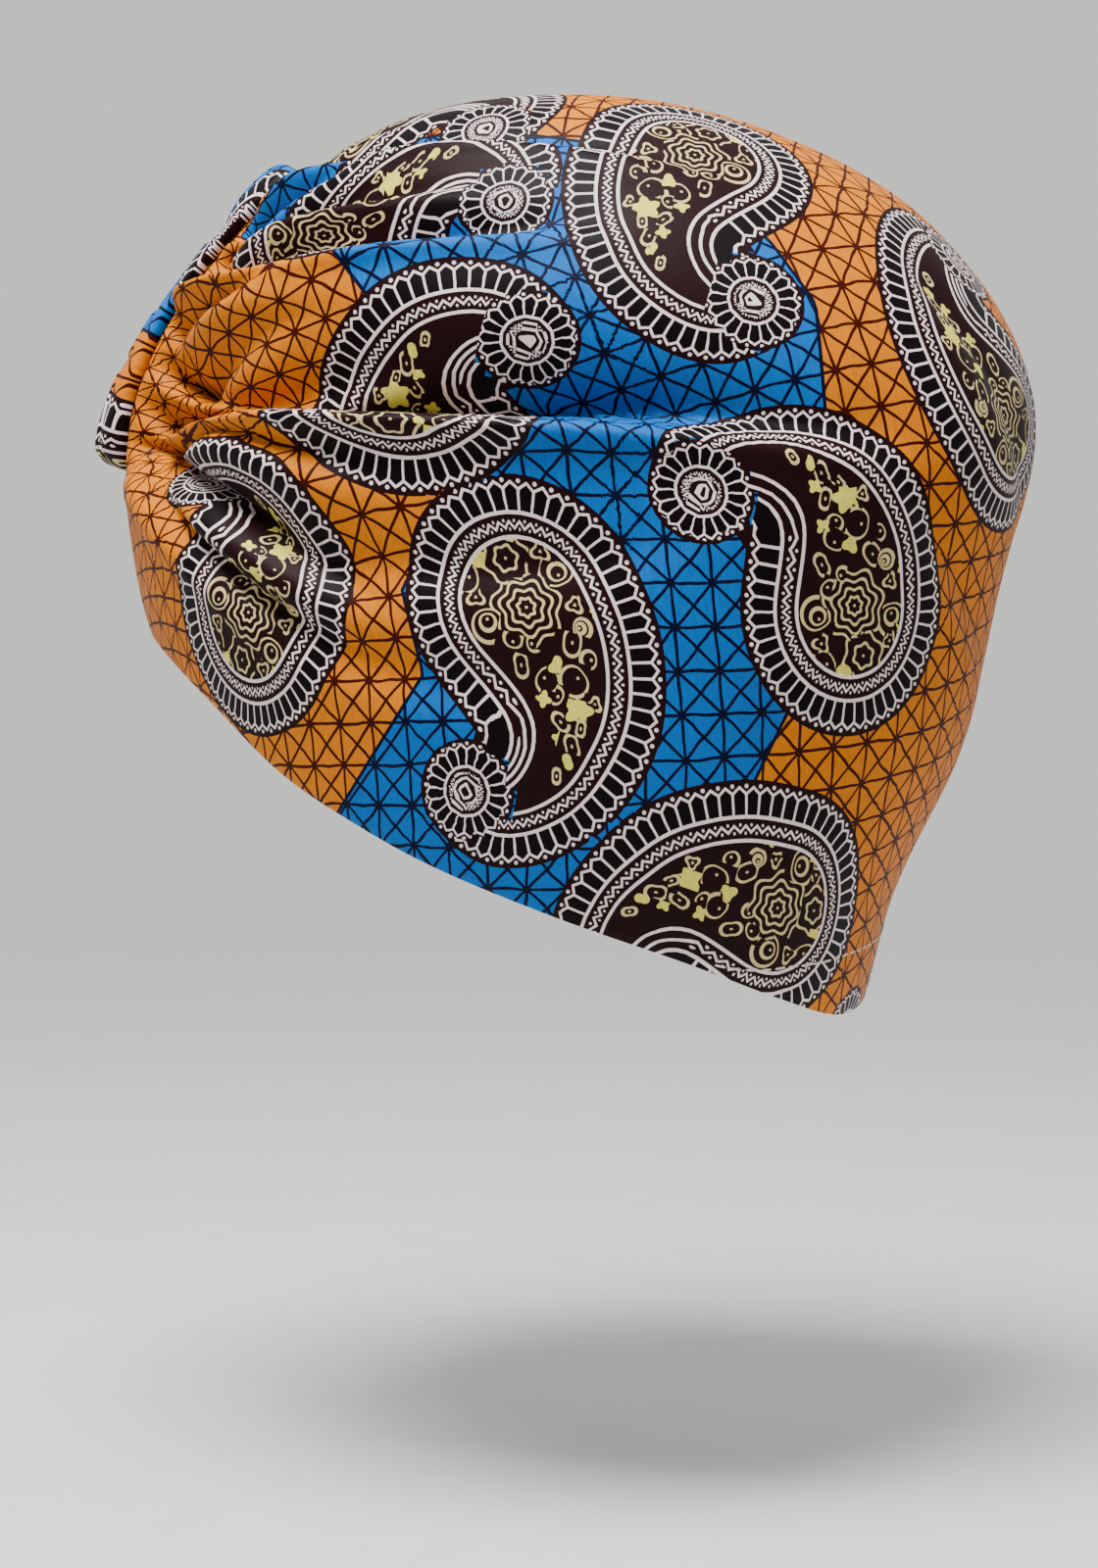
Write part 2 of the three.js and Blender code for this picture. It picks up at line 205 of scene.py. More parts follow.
# Shares of a fold's length where it sets in and dies out, and where its overhang dies out.
FOLD_START, FOLD_FADE, SAG_FADE = (-0.02, 0.12), (0.45, 1), (0.3, 0.75)
GROOVE_POWER = 1.35
LIP_PLACE, LIP_SPREAD = 2, 1.1
SAG_PLACE, SAG_SPREAD = 0.45, 0.6
SHORT_RIB, BACK_EXTRA, MIDDLE_EXTRA = 109, 49, 74
GATHER_MIDDLE, GATHER_SPREAD, GATHER_PITCH = 0.12, 0.115, 0.07
GATHER_TOP, GATHER_BOTTOM, GATHER_FADE = 0.08, 0.72, 0.06
GATHER_HEIGHT, GATHER_DIP, GATHER_POWER = 3.8, 1.5, 0.8
GATHER_RELEASE = 4.0
KNOT_ENDS, KNOT_FADE = (124.0, 165.6), (1, 5)
PINCH_DEPTH, PINCH_REACH = 4.0, 16.0
EDGE_CALM = (0.86, 0.95)


def rib_length(s):
    """The length of a rib from the top line to the lower edge, about, in millimetres."""
    return SHORT_RIB + BACK_EXTRA * s + MIDDLE_EXTRA * np.sin(np.pi * s) ** 2


def fold_place(fold, s, t):
    """The share of the fold's length at s, and the distance of t below its valley."""
    start, end, head, middle, tail = fold[:5]
    share = (s - start) / (end - start)
    u = np.clip(share, 0, 1)
    valley = head + (4 * middle - 3 * head - tail) * u + (2 * head - 4 * middle + 2 * tail) * u * u
    return share, (t - valley) * rib_length(s)


def fold_height(fold, s, t):
    """A groove with slopes of two widths and a swell under it, fading along the fold."""
    depth, above, below, lip = fold[5:9]
    share, off = fold_place(fold, s, t)
    strength = smooth(share, *FOLD_START) * (1 - smooth(share, *FOLD_FADE))
    groove = np.exp(-np.abs(off / np.where(off < 0, above, below)) ** GROOVE_POWER)
    swell = bell((off - LIP_PLACE * below) / (LIP_SPREAD * below))
    return depth * strength * (lip * swell - groove)


def fold_overhang(fold, s, t):
    """How far the cloth above a valley sags down over it: a bell over the upper slope, gone by the
    middle of the fold's length."""
    above, overhang = fold[6], fold[9]
    share, off = fold_place(fold, s, t)
    strength = smooth(share, *FOLD_START) * (1 - smooth(share, *SAG_FADE))
    return overhang * strength * bell((off + SAG_PLACE * above) / (SAG_SPREAD * above))


def along_knot(angle):
    """1 along the knot, fading to 0 past its two ends."""
    (first, last), (near, far) = KNOT_ENDS, KNOT_FADE
    return smooth(angle, first - far, first - near) * (1 - smooth(angle, last + near, last + far))


def pinch_depth(angle, x):
    """The groove that the knot presses into the crown, deepest on the midline."""
    return PINCH_DEPTH * along_knot(angle) * np.maximum(0, 1 - np.abs(x) / PINCH_REACH)


def freed_from_knot(point):
    """0 under the knot and 1 away from it, so that no fold pushes into the knot."""
    return 1 - along_knot(outline_angle(point)) * (
        1 - smooth(point[..., 0], PINCH_REACH, PINCH_REACH + GATHER_RELEASE))


def cloth_height(s, t, point):
    """The cloth's distance from the plain form: the folds and gathers, less the pinch."""
    angle = outline_angle(point)
    folds = sum(fold_height(fold, s, t) for fold in FOLDS.values()) * (1 - smooth(t, *EDGE_CALM))
    beside = smooth(t, GATHER_TOP, GATHER_TOP + GATHER_FADE)
    beside = beside * (1 - smooth(t, GATHER_BOTTOM - GATHER_FADE, GATHER_BOTTOM))
    ridges = np.abs(np.cos(np.pi * t / GATHER_PITCH)) ** GATHER_POWER
    gathers = GATHER_HEIGHT * (2 * ridges - 1) - GATHER_DIP
    near = beside * bell((s - GATHER_MIDDLE) / GATHER_SPREAD)
    return freed_from_knot(point) * (folds + near * gathers) - pinch_depth(angle, point[..., 0])


# %% Crown grid
RIBS, ROWS = 150, 140
RIB_CROWDING = 0.35
CLOTH = 1.0

rib_steps = np.arange(RIBS + 1) / RIBS
rib_places = rib_steps - RIB_CROWDING * np.sin(2 * np.pi * rib_steps) / (2 * np.pi)
row_places = np.arange(-ROWS, ROWS + 1) / ROWS
rib_grid, row_grid = np.meshgrid(rib_places, row_places, indexing="ij")


def cloth_surface(s, row, depth):
    """Points of the cloth on both sides: rows below 0 are the right side, the left side's mirror
    image. Each point lies on the plain form, moved along its normal, less a depth, and sags over
    the valleys."""
    t = np.abs(row)
    plain = form_point(s, t)
    normal = form_normal(plain)
    down = np.array([0, 0, -1]) + normal * normal[..., 2:]
    fall = sum(fold_overhang(fold, s, t) for fold in FOLDS.values()) * freed_from_knot(plain)
    fall = fall * (1 - smooth(t, *EDGE_CALM))
    point = plain + normal * (cloth_height(s, t, plain) - depth)[..., None] + down * fall[..., None]
    return point * np.stack([np.where(row < 0, -1.0, 1.0)] + [np.ones_like(row)] * 2, -1)


def add_mesh(name, points, quads, material_numbers=None):
    """A mesh object at the origin from points in millimetres and four corners for each face."""
    mesh = bpy.data.meshes.new(name)
    mesh.vertices.add(len(points))
    mesh.vertices.foreach_set("co", (points * MM).astype(np.float32).ravel())
    mesh.loops.add(quads.size)
    mesh.loops.foreach_set("vertex_index", quads.astype(np.int32).ravel())
    mesh.polygons.add(len(quads))
    mesh.polygons.foreach_set("loop_start", np.arange(0, quads.size, 4, dtype=np.int32))
    mesh.polygons.foreach_set("use_smooth", np.ones(len(quads), dtype=bool))
    if material_numbers is not None:
        mesh.polygons.foreach_set("material_index", material_numbers.astype(np.int32))
    mesh.update(calc_edges=True)
    mesh.validate()
    piece = bpy.data.objects.new(name, mesh)
    bpy.context.scene.collection.objects.link(piece)
    return piece


def wall_quads(index, count):
    """The outer faces of a grid of point numbers, the same faces turned round on the inner points
    (numbers plus count), and strips along the two long borders of the grid."""
    a, b, c, d = index[:-1, :-1], index[1:, :-1], index[1:, 1:], index[:-1, 1:]
    outer = np.stack([a, d, c, b], -1).reshape(-1, 4)
    inner = outer[:, ::-1] + count
    low = np.stack([index[:-1, 0], index[1:, 0], index[1:, 0] + count, index[:-1, 0] + count], -1)
    high = np.stack([index[1:, -1], index[:-1, -1], index[:-1, -1] + count, index[1:, -1] + count], -1)
    return outer, inner, np.concatenate([low, high])


def joined_numbers(ribs, rows):
    """Point numbers of a grid whose first and last ribs are folded together along the midline."""
    index = np.arange(ribs * rows).reshape(ribs, rows)
    half = rows // 2
    index[0, :half] = index[0, :half:-1]
    index[-1, :half] = index[-1, :half:-1]
    kept, packed = np.unique(index, return_inverse=True)
    return kept, packed.reshape(ribs, rows)


kept, crown_index = joined_numbers(RIBS + 1, 2 * ROWS + 1)
crown_outer = cloth_surface(rib_grid, row_grid, 0).reshape(-1, 3)[kept]
crown_inner = cloth_surface(rib_grid, row_grid, CLOTH).reshape(-1, 3)[kept]
outer_faces, inner_faces, rim_faces = wall_quads(crown_index, len(kept))
crown_faces = np.concatenate([outer_faces, inner_faces, rim_faces])
face_sides = np.repeat([0, 1, 0], [len(outer_faces), len(inner_faces), len(rim_faces)])
crown = add_mesh("crown_cloth", np.concatenate([crown_outer, crown_inner]), crown_faces, face_sides)
print("crown:", len(crown_faces), "faces")
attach(crown, "root")
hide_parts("crown")

# %% [markdown]
# ## The cloth laid flat
#
# The print was made on flat cloth, so it needs the flat place of every point: where the point lay
# before the cloth was gathered. Unwrapping the crown with the least stretch gives just that. The
# sheet is open along the front and back midlines and whole over the top. Its folds are taken deeper
# than they are modelled, because real gathers hide more cloth than their valleys show.

# %% Flat places
FLAT_STEPS = (3, 2)
HIDDEN_CLOTH = 0.7
HIDDEN_REACH = (0.25, 0.6)
SIDE_CENTRE = (5.0, -90.0)
SIDE_HALF = 20.0
UNWRAP_ROUNDS = 20
FAR_OFF = 1e3


def carried_over(values, count):
    """A table's rows carried over to a finer, evenly spaced count of rows by smooth curves."""
    rows = values.reshape(len(values), -1)
    places = np.linspace(0, len(values) - 1, count)
    return along_table(rows, places).reshape((count,) + values.shape[1:])


def laid_flat(points):
    """The least-stretch flat places of a grid of points, in millimetres."""
    ribs, rows = points.shape[:2]
    faces = wall_quads(np.arange(ribs * rows).reshape(ribs, rows), 0)[0]
    sheet = add_mesh("sheet", points.reshape(-1, 3), faces)
    sheet.data.uv_layers.new(name="flat")
    bpy.context.view_layer.objects.active = sheet
    sheet.select_set(True)
    bpy.ops.object.mode_set(mode="EDIT")
    bpy.ops.mesh.select_all(action="SELECT")
    bpy.ops.uv.unwrap(method="MINIMUM_STRETCH", iterations=UNWRAP_ROUNDS, margin=0)
    bpy.ops.object.mode_set(mode="OBJECT")
    corners = np.zeros(faces.size * 2, np.float32)
    sheet.data.uv_layers["flat"].data.foreach_get("uv", corners)
    flat = np.zeros((ribs * rows, 2))
    flat[faces.ravel()] = corners.reshape(-1, 2)
    bpy.data.meshes.remove(sheet.data)
    flat = flat.reshape(ribs, rows, 2)
    lengths = [np.linalg.norm(np.diff(grid, axis=0), axis=-1).sum() for grid in (points, flat)]
    return flat * lengths[0] / lengths[1]


def nearest_number(points, y, z, side):
    """The grid number of one side's point that is nearest to (y, z) in the side view."""
    off = np.hypot(points[..., 1] - y, points[..., 2] - z) + FAR_OFF * (row_grid * side < 0)
    return np.unravel_index(np.argmin(off), off.shape)


def side_place(flat, points, y, z, side):
    """The flat place of the point (y, z) of one side's view: its nearest grid point's place, plus
    what is left over. The right side hangs beyond the top line, so its heights run the other way."""
    nearest = nearest_number(points, y, z, side)
    left_over = np.array([y, z]) - points[nearest][1:]
    return flat[nearest] + left_over * np.array([1, side])


def levelled(flat, points):
    """Flat places turned so that back is to the right and up is up in the middle of the left side."""
    y, z = SIDE_CENTRE
    ends = [(y + SIDE_HALF, z), (y - SIDE_HALF, z), (y, z + SIDE_HALF), (y, z - SIDE_HALF)]
    back, front, high, low = [flat[nearest_number(points, *end, 1)] for end in ends]
    right = (back - front) / np.linalg.norm(back - front)
    up = np.array([-right[1], right[0]])
    up = up * np.sign(up @ (high - low))
    turned = np.stack([flat @ right, flat @ up], -1)
    middle = (back + front) / 2
    return turned - np.array([middle @ right, middle @ up])


crown_grid = cloth_surface(rib_grid, row_grid, 0)
plain_grid = form_point(rib_grid, np.abs(row_grid))
plain_grid[..., 0] = np.where(row_grid < 0, -1, 1) * plain_grid[..., 0]
slack = HIDDEN_CLOTH * (1 - smooth(rib_grid, *HIDDEN_REACH))[..., None]
slack_grid = crown_grid + slack * (crown_grid - plain_grid)
flat_grid = laid_flat(slack_grid[::FLAT_STEPS[0], ::FLAT_STEPS[1]])
flat_grid = carried_over(flat_grid, RIBS + 1)
flat_grid = carried_over(flat_grid.transpose(1, 0, 2), 2 * ROWS + 1).transpose(1, 0, 2)
flat_grid = levelled(flat_grid, crown_grid)
print("cloth laid flat: %.0f by %.0f mm" % tuple(np.ptp(flat_grid.reshape(-1, 2), axis=0)))

# %% [markdown]
# ## The printed motif
#
# Every motif is the same curled drop: a round head that narrows into a tail with a curl. It is the
# shape that a disc sweeps while it runs from the curl to the head and grows. Each point of the
# cloth gets its depth inside that shape and its place along the outline. The finish draws the
# borders from these two numbers, so that the lines stay sharp however near the camera comes.

# %% Drop outline
DROP_SPINE = np.array([
    # along, aside and radius, as shares of the drop's size
    (0.00, 0.00, 0.27), (-0.07, 0.18, 0.25), (0.00, 0.33, 0.26), (0.175, 0.447, 0.30),
    (0.393, 0.473, 0.37), (0.627, 0.376, 0.50), (0.839, 0.206, 0.59), (1.00, 0.00, 0.64)])
SPINE_DISCS = 90
CAP_STEPS = 24
OUTLINE_STEPS = 260
ROUNDING_STEPS = 5
DROP_SIZE = 36.0
CELL_PITCH = 3.1
TAIL_NARROWING, CURL_NARROWING = 0.08, 0.32
TAIL_REACH, CURL_REACH = (0.2, 0.5), 0.255
TORN_CELLS = 3
OUTSIDE_DEPTH, NEAR_DEPTH = -50, -3


def drop_frame(curl, head, turn):
    """A drop's two directions: from the curl towards the head, and to the swung-out side."""
    ahead = np.subtract(head, curl) / np.linalg.norm(np.subtract(head, curl))
    return ahead, turn * np.array([ahead[1], -ahead[0]])


def drop_discs(curl, head, turn):
    """Centres and radii of the discs along a drop's spine, which swings out to one side."""
    ahead, aside = drop_frame(curl, head, turn)
    spine = along_table(DROP_SPINE, np.linspace(0, len(DROP_SPINE) - 1, SPINE_DISCS)) * DROP_SIZE
    return np.array(curl) + spine[:, :1] * ahead + spine[:, 1:2] * aside, spine[:, 2]


def depth_in(points, centres, radii):
    """How deep points lie in a row of discs: the largest radius less the distance to its centre."""
    off = points[:, None, :] - centres[None, :, :]
    return (radii - np.sqrt((off * off).sum(-1))).max(-1)


def drop_outline(centres, radii):
    """The closed outline of the discs: the two lines that touch them all and the round caps,
    without the stretches that other discs cover, spaced evenly and rounded by a running mean."""
    run = np.gradient(centres, axis=0)
    step = np.linalg.norm(run, axis=1)
    lean = np.clip(-np.gradient(radii) / step, -0.99, 0.99)[:, None]
    ahead = run / step[:, None]
    left = np.stack([-ahead[:, 1], ahead[:, 0]], -1)
    lines = [centres + radii[:, None] * (lean * ahead + sign * np.sqrt(1 - lean ** 2) * left)
             for sign in (1, -1)]
    caps = []
    for end, first, last in ((-1, lines[0][-1], lines[1][-1]), (0, lines[1][0], lines[0][0])):
        turns = [math.atan2(*(point - centres[end])[::-1]) for point in (first, last)]
        angles = turns[0] - (turns[0] - turns[1]) % (2 * math.pi) * np.linspace(0, 1, CAP_STEPS)
        caps.append(centres[end] + radii[end] * np.stack([np.cos(angles), np.sin(angles)], -1))
    outline = np.concatenate([lines[0], caps[0], lines[1][::-1], caps[1]])
    outline = outline[depth_in(outline, centres, radii) < 0.05]
    steps = np.linalg.norm(np.diff(outline, axis=0, append=outline[:1]), axis=1)
    places = np.concatenate([[0], np.cumsum(steps)])
    even = np.linspace(0, places[-1], OUTLINE_STEPS, endpoint=False)
    closed = np.concatenate([outline, outline[:1]])
    outline = np.stack([np.interp(even, places, closed[:, axis]) for axis in (0, 1)], -1)
    shifts = range(-(ROUNDING_STEPS // 2), ROUNDING_STEPS // 2 + 1)
    return sum(np.roll(outline, shift, axis=0) for shift in shifts) / ROUNDING_STEPS


def border_depth(points, border):
    """Each point's depth in a closed border, below 0 outside, the number of the nearest stretch, and
    the share of that stretch. A level line from an inside point crosses the border an odd number of
    times."""
    run = np.roll(border, -1, axis=0) - border
    off = points[:, None, :] - border
    share = np.clip((off * run).sum(-1) / np.maximum((run * run).sum(-1), 1e-9), 0, 1)
    gap = np.linalg.norm(off - share[..., None] * run, axis=-1)
    row, nearest = np.arange(len(points)), np.argmin(gap, axis=1)
    spans = (off[..., 1] >= 0) != (off[..., 1] - run[:, 1] >= 0)
    slope = run[:, 0] / np.where(run[:, 1] == 0, 1, run[:, 1])
    inside = (spans & (off[..., 0] < off[..., 1] * slope)).sum(1) % 2 == 1
    return np.where(inside, 1, -1) * gap[row, nearest], nearest, share[row, nearest]


def outline_places(points, outline):
    """Each point's depth in a drop's outline, its place along it in cells, and the cell count."""
    depth, nearest, share = border_depth(points, outline)
    length = np.linalg.norm(np.roll(outline, -1, axis=0) - outline, axis=1)
    before = np.cumsum(length) - length
    cells = round(length.sum() / CELL_PITCH)
    return depth, (before[nearest] + share * length[nearest]) * cells / length.sum() + 0.5, cells


def curl_values(own):
    """Depth and place in the curl's own round ring of cells: the way in from its rim, and the angle."""
    depth = (DROP_SPINE[0, 2] - np.linalg.norm(own, axis=1)) * DROP_SIZE * (1 + CURL_NARROWING)
    cells = round(2 * np.pi * DROP_SPINE[0, 2] * DROP_SIZE / CELL_PITCH)
    return depth, (np.arctan2(own[:, 1], own[:, 0]) / (2 * np.pi) + 0.5) * cells, cells


def face_places(place, cells):
    """Places along the outline at the corners of faces, made continuous within each face. A face that
    spans too many cells lies where two stretches of outline meet, and is the middle of a cell."""
    place = place + np.where(place.max(1, keepdims=True) - place > cells / 2, cells, 0)
    torn = np.ptp(place, axis=1) > TORN_CELLS
    return np.where(torn[:, None], np.floor(place[:, :1]) + 0.5, place)


# The flowers inside a drop: place ahead and aside, size, petals, how deep they cut, turn, and the
# number of rings, where 0 is a filled flower. One petal makes a heart, two make a leaf.
FLOWERS = np.array([
    (0.99, 0.03, 0.175, 7, 0.10, 0.0, 4), (1.19, -0.14, 0.120, 6, 0.10, 0.5, 2),
    (1.03, -0.30, 0.075, 1, 0.45, 2.0, 1), (0.86, -0.15, 0.080, 1, 0.45, 3.6, 2),
    (1.21, 0.14, 0.085, 1, 0.45, 0.8, 2), (1.29, 0.02, 0.040, 3, 0.25, 0.5, 1),
    (0.92, 0.30, 0.055, 2, 0.20, 0.4, 1), (0.77, 0.38, 0.070, 1, 0.50, 2.6, 1),
    (0.70, 0.21, 0.060, 1, 0.45, 4.4, 1), (0.62, 0.43, 0.060, 5, 0.22, 0.2, 0),
    (0.53, 0.36, 0.040, 2, 0.30, 2.2, 1), (0.44, 0.455, 0.045, 2, 0.30, 1.2, 1),
    (1.31, -0.14, 0.035, 4, 0.25, 0.3, 0), (0.83, 0.10, 0.035, 1, 0.45, 5.2, 1),
    (1.13, -0.26, 0.035, 3, 0.25, 0.3, 0), (1.10, 0.26, 0.035, 3, 0.25, 0.3, 1),
    (0.64, 0.31, 0.040, 1, 0.45, 1.4, 1), (0.78, 0.26, 0.035, 3, 0.25, 0.8, 0),
    (0.80, 0.01, 0.045, 1, 0.45, 0.2, 1), (0.54, 0.47, 0.030, 2, 0.3, 0.4, 1),
    (0.36, 0.46, 0.025, 2, 0.3, 1.4, 0), (1.36, -0.04, 0.035, 1, 0.45, 0.9, 1),
    (0.88, 0.42, 0.040, 1, 0.45, 1.9, 1), (1.00, 0.31, 0.045, 1, 0.45, 5.0, 2),
    (0.94, -0.24, 0.040, 3, 0.25, 1.1, 1), (0.71, 0.08, 0.045, 2, 0.30, 0.9, 1),
    (0.68, 0.50, 0.030, 3, 0.25, 0.4, 1), (0.45, 0.38, 0.026, 4, 0.25, 0.2, 0),
    (0.27, 0.43, 0.028, 2, 0.30, 0.7, 1), (1.12, 0.37, 0.030, 4, 0.25, 0.6, 0),
    (1.32, 0.12, 0.030, 4, 0.25, 0.1, 0), (0.60, 0.24, 0.028, 4, 0.25, 0.5, 0),
])
GOLD_INK = 0.27


def flower_values(faces_own):
    """For each face the flower that is nearest for its size: the corners' places in that flower, from
    its middle to 1 at its rim, with the line's half width, and its petals, cut and rings."""
    off = faces_own.mean(1)[:, None, :] - FLOWERS[None, :, :2]
    chosen = FLOWERS[np.argmin(np.linalg.norm(off, axis=-1) - FLOWERS[:, 2], axis=1)]
    place = (faces_own - chosen[:, None, :2]) / chosen[:, None, 2:3]
    turn = (chosen[:, 5] / chosen[:, 3])[:, None]
    turned = [place[..., 0] * np.cos(turn) - place[..., 1] * np.sin(turn),
              place[..., 0] * np.sin(turn) + place[..., 1] * np.cos(turn)]
    ink = np.broadcast_to(GOLD_INK / DROP_SIZE / chosen[:, 2:3], turned[0].shape)
    petals = np.broadcast_to(chosen[:, None, [3, 4, 6]], place.shape[:2] + (3,))
    return np.stack(turned + [ink], -1), petals


def add_print(piece, flat, faces, drops, ground):
    """Puts the print's numbers on a piece's corners: cloth (the flat place and the depth in a blue
    field), drop (depth, place along the outline), and the values of the nearest flower."""
    points = flat.reshape(-1, 2)
    discs = [drop_discs(*drop) for drop in drops]
    depths = np.stack([depth_in(points, *disc) for disc in discs])
    owner = np.argmax(depths[:, faces].mean(-1), axis=0)
    drop_values = np.zeros(faces.shape + (3,)) + np.array([OUTSIDE_DEPTH, 0, 0])
    flower = np.zeros(faces.shape + (3,))
    petals = np.ones(faces.shape + (3,))
    for number, drop in enumerate(drops):
        chosen = np.nonzero((owner == number) & (depths[number][faces].max(-1) > NEAR_DEPTH))[0]
        if len(chosen) == 0:
            continue
        ahead, aside = drop_frame(*drop)
        used, back = np.unique(faces[chosen], return_inverse=True)
        back = back.reshape(-1, 4)
        own = (points[used] - drop[0]) @ np.stack([ahead, aside], -1) / DROP_SIZE
        depth, place, cells = outline_places(points[used], drop_outline(*discs[number]))
        narrowed = 1 + TAIL_NARROWING * (1 - smooth(own[:, 0], *TAIL_REACH))
        in_curl = (np.linalg.norm(own[back].mean(1), axis=1) < CURL_REACH)[:, None]
        curl_depth, curl_place, curl_cells = curl_values(own)
        drop_values[chosen, :, 0] = np.where(in_curl, curl_depth[back], (depth * narrowed)[back])
        drop_values[chosen, :, 1] = np.where(in_curl, face_places(curl_place[back], curl_cells),
                                             face_places(place[back], cells))
        flower[chosen], petals[chosen] = flower_values(own[back])
    cloth = np.concatenate([points[faces], ground.reshape(-1)[faces][..., None]], -1)
    for name, values in (("cloth", cloth), ("drop", drop_values), ("flower", flower), ("petals", petals)):
        layer = piece.data.attributes.new(name, "FLOAT_VECTOR", "CORNER")
        layer.data.foreach_set("vector", values.astype(np.float32).ravel())
    print(piece.name, "print:", int((drop_values[..., 0].max(-1) > 0).sum()), "faces in drops")


# %% Drops on the crown
# side (1 left, -1 right), the curl's and the head's places (y, z) in the side view, and the swing
DROPS = [
    (1, -17, -137, -7, -103, 1), (1, -6, -53, -42, -74, 1), (1, 37, -45, 28, -15, -1),
    (1, 27, -81, 58, -105, -1), (1, 80, -34, 89, -70, 1), (1, 12, -178, 56, -149, -1),
    (1, -69, -78, -60, -102, -1), (1, -14, -8, -46, -10, 1), (1, -10, -25, -46, -31, 1),
    (1, 58, -188, 68, -176, 1),
    (-1, 22, -142, 8, -108, -1), (-1, -12, -58, -36, -84, 1), (-1, 50, -56, 68, -86, 1),
    (-1, 44, -30, 8, -24, -1), (-1, 26, -160, 60, -146, 1), (-1, -62, -98, -36, -124, -1),
    (-1, -40, -30, -64, -52, 1), (-1, 78, -140, 76, -106, -1),
]

# Borders of the blue fields in the side view (y, z) of each side; the rest of the cloth is orange.
BLUE_FIELDS = {
    1: [[(-42, -142), (-25, -115), (-29, -99), (-19, -83), (-18, -69), (-31, -50), (-43, -34), (-64, -28),
         (-52, -12), (-13, -9), (10, -13), (40, -32), (49, -45), (51, -69), (42, -88), (47, -115),
         (37, -136), (24, -147), (12, -172), (-40, -160)]],
    -1: [[(-74, -36), (-40, -18), (4, -14), (22, -30), (6, -58), (17, -90), (-4, -118), (2, -170),
          (-44, -160), (-62, -114), (-58, -82)],
         [(58, -20), (76, -58), (60, -98), (71, -142), (58, -192), (120, -192), (120, -20)]],
}
SLOPE_LIMITS = (0.15, 3)


def flat_depth(values, flat):
    """Depths turned from side-view lengths to lengths on the flat cloth: divided by their slope there."""
    slopes = np.stack(np.gradient(values), -1)
    steps = np.stack([np.gradient(flat, axis=axis) for axis in (0, 1)], -2)
    slope = np.linalg.norm(np.linalg.solve(steps, slopes[..., None])[..., 0], axis=-1)
    return values / np.clip(slope, *SLOPE_LIMITS)


side_views = crown_grid[..., 1:].reshape(-1, 2)
fields = [np.max([border_depth(side_views, np.array(border, float))[0] for border in BLUE_FIELDS[side]],
                 axis=0) for side in (1, -1)]
crown_ground = flat_depth(np.where(row_grid >= 0, *np.reshape(fields, (2, *row_grid.shape))), flat_grid)
crown_drops = [(side_place(flat_grid, crown_grid, curl_y, curl_z, side),
                side_place(flat_grid, crown_grid, head_y, head_z, side), turn * side)
               for side, curl_y, curl_z, head_y, head_z, turn in DROPS]
flat_index = np.arange(row_grid.size).reshape(row_grid.shape)
add_print(crown, flat_grid, np.concatenate(wall_quads(flat_index, 0)), crown_drops, crown_ground)

# %% [markdown]
# ## The printed cloth
#
# It is a smooth woven polyester, a fine thread with a little sheen. The nodes draw the print from
# the numbers that the cloth carries, layer over layer as a printer would: first the two grounds
# with their net of triangles, then the drops with their rows of cells, the zigzag between two
# lines, and the golden flowers inside. Real millimetres set every width.

# %% Node helper and colours
def add_node(tree, kind, inputs=None, output=0, **settings):
    """Adds one shader node, sets its settings, fills its inputs with values or links, and gives
    back one of its outputs, if it has any."""
    node = tree.nodes.new("ShaderNode" + kind)
    for key, value in settings.items():
        setattr(node, key, value)
    for socket, value in (inputs or {}).items():
        if isinstance(value, bpy.types.NodeSocket):
            tree.links.new(value, node.inputs[socket])
        else:
            node.inputs[socket].default_value = value
    return node.outputs[output] if node.outputs else None


def linear(hex_colour):
    """An sRGB hex colour as linear red, green, blue and alpha."""
    channels = np.array([int(hex_colour[k:k + 2], 16) for k in (1, 3, 5)]) / 255
    low, high = channels / 12.92, ((channels + 0.055) / 1.055) ** 2.4
    return (*np.where(channels <= 0.04045, low, high).tolist(), 1.0)


def new_material(name):
    """An empty material, and the node helper for its tree."""
    material = bpy.data.materials.new(name)
    material.use_nodes = True
    material.node_tree.nodes.clear()
    return material, partial(add_node, material.node_tree)


BLUE, NAVY = linear("#035FAC"), linear("#060924")
ORANGE, RUST = linear("#CB7203"), linear("#360A03")
MAROON, CELL_DARK = linear("#1C070A"), linear("#0B0406")
CHALK, GOLD_LINE, GOLD = linear("#E6D3D3"), linear("#CDBB82"), linear("#D6CC58")


# %% Net of triangles
NET_PITCH, NET_LINE, NET_KNOT = 7.8, 0.3, 0.85
FIELD_LINE = 0.35
HAND_WOBBLE, WOBBLE_SCALE = 1.0, 0.16


def net_ink(node, u, v):
    """1 on the lines of a square net and its two diagonals, and on the spots where all of them meet."""
    total = node("Math", {0: u, 1: v}, operation="ADD")
    difference = node("Math", {0: u, 1: v}, operation="SUBTRACT")
    across, down, rising, falling = [
        node("Math", {0: value, 1: NET_PITCH / 2}, operation="PINGPONG")
        for value in (u, v, total, difference)]
    straight = node("Math", {0: across, 1: down}, operation="MINIMUM")
    slanted = node("Math", {0: rising, 1: falling}, operation="MINIMUM")
    slanted = node("Math", {0: slanted, 1: math.sqrt(0.5)}, operation="MULTIPLY")
    nearest = node("Math", {0: straight, 1: slanted}, operation="MINIMUM")
    line = node("Math", {0: nearest, 1: NET_LINE}, operation="LESS_THAN")
    spot = node("VectorMath", {0: node("CombineXYZ", {0: across, 1: down})}, 1, operation="LENGTH")
    spot = node("Math", {0: spot, 1: NET_KNOT}, operation="LESS_THAN")
    return node("Math", {0: line, 1: spot}, operation="MAXIMUM")


